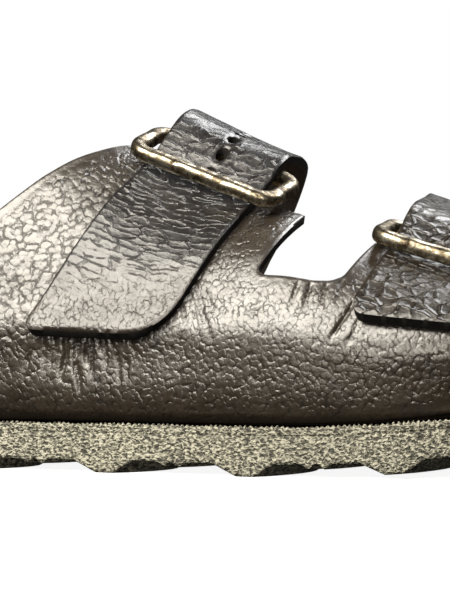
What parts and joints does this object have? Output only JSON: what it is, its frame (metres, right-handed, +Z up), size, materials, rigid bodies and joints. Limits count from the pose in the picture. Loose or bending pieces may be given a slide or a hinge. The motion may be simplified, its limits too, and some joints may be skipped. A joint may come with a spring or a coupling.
{
  "type": "buckle sandal",
  "caption": "Right-foot slide sandal: treaded sole, contoured footbed, and a leather upper of side quarters and buckled straps over the instep and the ball.",
  "frame": {"origin": "middle of the bounding box on the floor, under the sole", "axes": "+X to the toe, +Y to the inner side of the right foot, +Z up"},
  "size_m": [0.2804, 0.1065, 0.0906],
  "materials": {
    "sole": "pitted foam rubber, matt",
    "footbed": "suede top on a cork bed",
    "leather": "grained, semi-gloss",
    "metal": "antique, worn bright on the edges"
  },
  "bodies": {
    "root": {"outsole": "sole", "insole": "footbed", "upper": "leather", "rear_buckle": "metal", "front_buckle": "metal", "rear_prong": "metal", "front_prong": "metal"}
  },
  "joints": []
}
